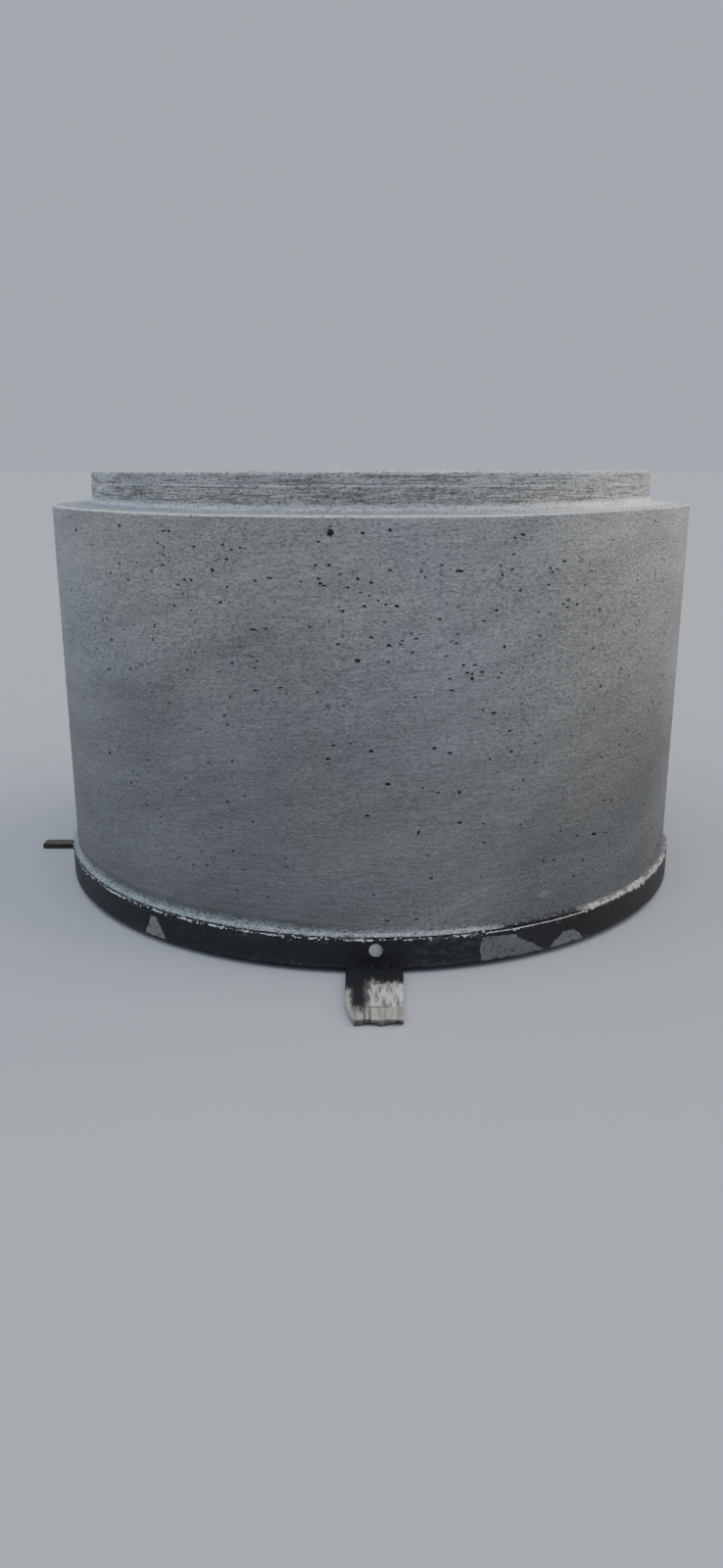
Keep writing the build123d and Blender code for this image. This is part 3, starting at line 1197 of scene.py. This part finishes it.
def weathered_board(name, node, along, cuts=30, edge=0.003):
    """A sawn board at its node's place, with soft edges and raised grain along one axis."""
    low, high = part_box(node)
    deselect()
    bpy.ops.mesh.primitive_cube_add(size=1, location=(low + high) / 2, scale=high - low)
    board = start(name)
    edit(board)
    bpy.ops.mesh.subdivide(number_cuts=cuts)
    leave_edit()
    grain = Vector((70, 70, 70))
    grain[along] = 3
    for vertex in board.data.vertices:
        point = rounded(vertex.co, low, high, edge)
        fibres = rough(Vector([point[i] * grain[i] for i in range(3)]), 1)
        if point.z > low.z + 0.004:
            point.z += 0.0007 * fibres - 0.0007
        vertex.co = point
    return board


def cut_front_corner(board):
    """Saw off the front board's left corner, and leave its end ragged."""
    low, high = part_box("front_board")
    cut_length = 0.120
    cut_width = 0.028
    lean = 0.010
    saw_marks = 0.0015
    torn_back = 0.003
    for vertex in board.data.vertices:
        point = vertex.co
        share = (point.x - low.x) / (high.x - low.x)
        cut = min(max((low.y + cut_length - point.y) / cut_length, 0), 1)
        point.x += cut_width * cut**1.3 * (1 - share)
        point.x -= lean * share * smooth_step(-RING, low.y, point.y)
        point.x += saw_marks * rough(Vector((share * 2, point.y, 0)), 25, 3) * (1 - abs(2 * share - 1))
        end = smooth_step(low.y + 0.05, low.y, point.y)
        torn = rough(Vector((point.x, 3, point.z * 0.6)), 30, 3)
        under = smooth_step(high.z - 0.006, low.z, point.z)
        notch = plateau(point.x, 0.060, 0.072, 0.088, 0.096)
        frayed = under * (0.010 * (0.6 + 0.6 * torn) + 0.012 * notch)
        point.y += end * (torn_back * (1 + 2 * torn) + frayed)


def coat_front_board(board):
    """Raise the crust of cement that lies on the front board's right part."""
    low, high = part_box("front_board")
    for vertex in board.data.vertices:
        point = vertex.co
        if point.z < high.z - 0.004:
            continue
        inside = smooth_step(-0.018, -0.006, point.x) * smooth_step(*CRUST_RISES, point.y)
        inside *= smooth_step(low.y + 0.082, low.y + 0.090, point.y)
        clots = max(rough(point, 48, 3), -0.6)
        point.z += inside * (0.0016 + 0.0012 * clots)


def timber(place, along, pale, dark):
    """Sawn timber's colour and relief, with the grain along one axis."""
    scale = [75, 75, 75]
    scale[along] = 3.5
    fine = [320, 320, 320]
    fine[along] = 8
    fibres = streaks(place, scale, 4.0, 0.6, 0.3)
    threads = streaks(place, fine, 3.0, 0.6)
    stains = grains(place, 16.0, 4.0, 0.6)
    colour = blend(between(fibres, 0.35, 0.65), dark, pale)
    colour = shaded(colour, (threads, 0.75, 1.25), (stains, 0.75, 1.25))
    relief = weighted((fibres, 1.2), (threads, 0.5))
    return colour, relief


def front_timber():
    """Grey timber, wet under the ring and down its left part, with cracked cement on the right, and painted
    shade towards the ring, in its crack and grooves, and on its lower edges and end.
    """
    material, place = new_finish("weathered_front_timber")
    low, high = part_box("front_board")
    axes = parts_of(place)
    across = axes[0]
    back = axes[1]
    height = axes[2]
    colour, relief = timber(place, 1, grey(0.34, 1.05, 0.90), grey(0.20, 1.08, 0.86))
    wander = grains(stretched(place, (1, 1, 1), (3, 1, 0)), 24.0, 3.0, 0.55)
    fray = streaks(place, (100, 26, 100), 5.0, 0.68, shift=(0, 4, 0))
    shifted = weighted((wander, 0.050), (fray, 0.110), (back, 1.0), (1.0, -0.080))
    sideways = weighted((wander, 0.022), (fray, 0.020), (across, 1.0), (1.0, -0.021))

    def strip(first, last, soft):
        """1 on a strip along the board, given by its distances from the board's left edge."""
        return band(sideways, low.x + first, low.x + last, soft)

    wet_left = times(between(sideways, low.x + 0.072, low.x + 0.056), between(shifted, *WET_LEFT_ENDS))
    wet_under = largest(between(shifted, *WET_ENDS), wet_left)
    stripe = times(strip(0.017, 0.068, 0.014), between(shifted, low.y + 0.030, low.y + 0.098))
    fan = times(strip(0.058, 0.080, 0.012), between(shifted, low.y + 0.080, low.y + 0.130))
    wet = largest(wet_under, largest(stripe, times(fan, 0.7)))

    cement = times(
        between(sideways, low.x + 0.070, low.x + 0.084),
        between(shifted, *CEMENT_STARTS),
        between(back, low.y + 0.080, low.y + 0.088),
    )
    smear = times(strip(0.083, 0.093, 0.005), between(shifted, *SMEAR_STARTS))
    cement = largest(cement, times(smear, 0.6))
    veins = streaks(place, (74, 16, 74), 5.0, 0.66, 0.4)
    white = between(weighted((veins, 1.0), (wander, 0.25), (1.0, -0.12)), 0.37, 0.61)
    crust = blend(white, grey(0.14, 1.06, 0.90), grey(0.56, 0.99, 1.02))
    wet_wood = shaded(grey(0.022, 0.90, 1.20), (fray, 0.6, 1.4))
    colour = laid(colour, (wet, 0.98, wet_wood))
    # Painted shade: darker towards the ring, whose edge shades the board
    colour = shaded(colour, (between(shifted, low.y + 0.135, low.y + 0.060), 0.72, 1.0))
    rim = times(between(sideways, low.x + 0.022, low.x + 0.010), between(shifted, *WORN_RIM_STARTS))

    # Painted shade: the crack and grooves drawn as dark lines
    crack = band(weighted((wander, 0.012), (back, 1.0)), low.y + CRACK, low.y + CRACK + 0.004, 0.0012)
    crack = times(crack, band(across, low.x + 0.066, low.x + 0.138, 0.010))
    grooved = largest(strip(0.056, 0.062, 0.003), strip(0.072, 0.078, 0.003))
    grooved = times(grooved, between(shifted, low.y + 0.090, low.y + 0.050))
    crack = largest(crack, times(grooved, 0.8))
    knots = between(streaks(place, (80, 34, 80), 2.0, shift=(1, 5, 2)), 0.70, 0.76)
    colour = laid(
        colour,
        (cement, 0.90, crust),
        (rim, 0.5, grey(0.42, 1.02, 0.95)),
        (crack, 0.85, grey(0.035, 1.2, 0.8)),
        (knots, 0.8, grey(0.03, 1.3, 0.7)),
    )
    # Painted shade on the board's lower edges and its end face, which face away from the light
    underside_shade = between(height, high.z - 0.015, low.z)
    end_face_shade = between(facing(place)[1], -0.35, -0.75)
    colour = shaded(colour, (underside_shade, 1.0, 0.40), (end_face_shade, 1.0, 0.52))
    relief = weighted((relief, 1.0), (times(white, cement), 1.2), (crack, -2.5))
    roughness = weighted((wet, -0.35), (1.0, 0.82))
    return finish_material(material, colour, roughness, relief)


def plain_timber(name, along):
    """The hidden boards' plain grey timber."""
    material, place = new_finish(name)
    colour, relief = timber(place, along, grey(0.30, 1.05, 0.90), grey(0.16, 1.08, 0.86))
    return finish_material(material, colour, 0.82, relief)


def batten_timber():
    """Old dark timber, paler and more olive in patches on its top: a little dust, and painted light on the
    up-facing face.
    """
    material, place = new_finish("dark_batten_timber")
    colour, relief = timber(place, 0, grey(0.050, 1.12, 0.80), grey(0.022, 1.10, 0.85))
    # Dust and painted light: patches on the up-facing top made paler
    dust = times(between(facing(place)[2], 0.3, 0.9), grains(place, 30.0))
    colour = blend(dust, colour, grey(0.13, 1.02, 0.80))
    return finish_material(material, colour, 0.85, relief)


def bearers():
    front = weathered_board("front_board_weathered", "front_board", 1, 40)
    cut_front_corner(front)
    coat_front_board(front)
    smooth(front, 50)
    finished(front, front_timber(), "board_timber", "front_board")

    left = weathered_board("left_batten_weathered", "left_batten", 0, 30, 0.006)
    smooth(left, 50)
    finished(left, batten_timber(), "batten_timber", "left_batten")

    for node, along in (("right_board", 0), ("back_board", 1)):
        board = weathered_board(node + "_weathered", node, along)
        smooth(board, 50)
        finished(board, plain_timber(node + "_timber", along), "board_timber", node)


# Studio


def in_scene(name, data):
    """A new object in the scene with the data of a camera or a light."""
    item = bpy.data.objects.new(name, data)
    bpy.context.scene.collection.objects.link(item)
    return item


def make_camera():
    camera_data = bpy.data.cameras.new("photo_camera")
    camera_data.sensor_width = 36
    camera_data.lens = FOCAL_PIXELS / PHOTO_HEIGHT * camera_data.sensor_width
    camera = in_scene("photo_camera", camera_data)
    camera.location = EYE
    camera.rotation_euler = (math.pi / 2 - TILT_DOWN, 0, 0)
    bpy.context.scene.camera = camera


def make_floor():
    deselect()
    bpy.ops.mesh.primitive_plane_add(size=1500, location=(0, 0, FLOOR))
    floor = bpy.context.object
    floor.name = "floor"
    material = new_material("pale_floor")
    shader = material.node_tree.nodes["Principled BSDF"]
    shader.inputs["Base Color"].default_value = (0.416, 0.432, 0.468, 1)
    shader.inputs["Roughness"].default_value = 0.95
    shader.inputs["Specular IOR Level"].default_value = 0.1
    floor.data.materials.append(material)


# Lights: name, direction of its rays, how wide it is in degrees, strength and colour
LIGHTS = (
    ("sky_light", (0.0, 0.35, -1.0), 70, 1.45, (0.93, 0.97, 1.0)),
    ("warm_right_light", (-1.0, -0.15, -0.55), 60, 1.48, (1.0, 0.935, 0.82)),
    ("cool_left_light", (1.0, -0.25, -0.8), 60, 0.45, (0.88, 0.94, 1.0)),
)
SKY_COLOUR = (0.80, 0.87, 1.0, 1)
SKY_STRENGTH = 0.57


def make_lights():
    world = bpy.data.worlds.new("studio")
    world.use_nodes = True
    sky = world.node_tree.nodes["Background"]
    sky.inputs["Color"].default_value = SKY_COLOUR
    sky.inputs["Strength"].default_value = SKY_STRENGTH
    bpy.context.scene.world = world
    for name, aim, spread, energy, colour in LIGHTS:
        light_data = bpy.data.lights.new(name, "SUN")
        light_data.angle = math.radians(spread)
        light_data.energy = energy
        light_data.color = colour
        light = in_scene(name, light_data)
        light.rotation_euler = Vector(aim).to_track_quat("-Z", "Y").to_euler()


make_camera()
make_floor()
make_lights()
lump_shapes = lump_models()
concrete_pipe(lump_shapes)
toe_crust()
rim_bead()
all_crumbs(lump_shapes)
splashes()
frame["nodes"]["pallet_ring"].data.materials.clear()
frame["nodes"]["pallet_ring"].data.materials.append(ring_steel())
locating_pin()
bearers()
for lump_shape in lump_shapes:
    bpy.data.objects.remove(lump_shape)
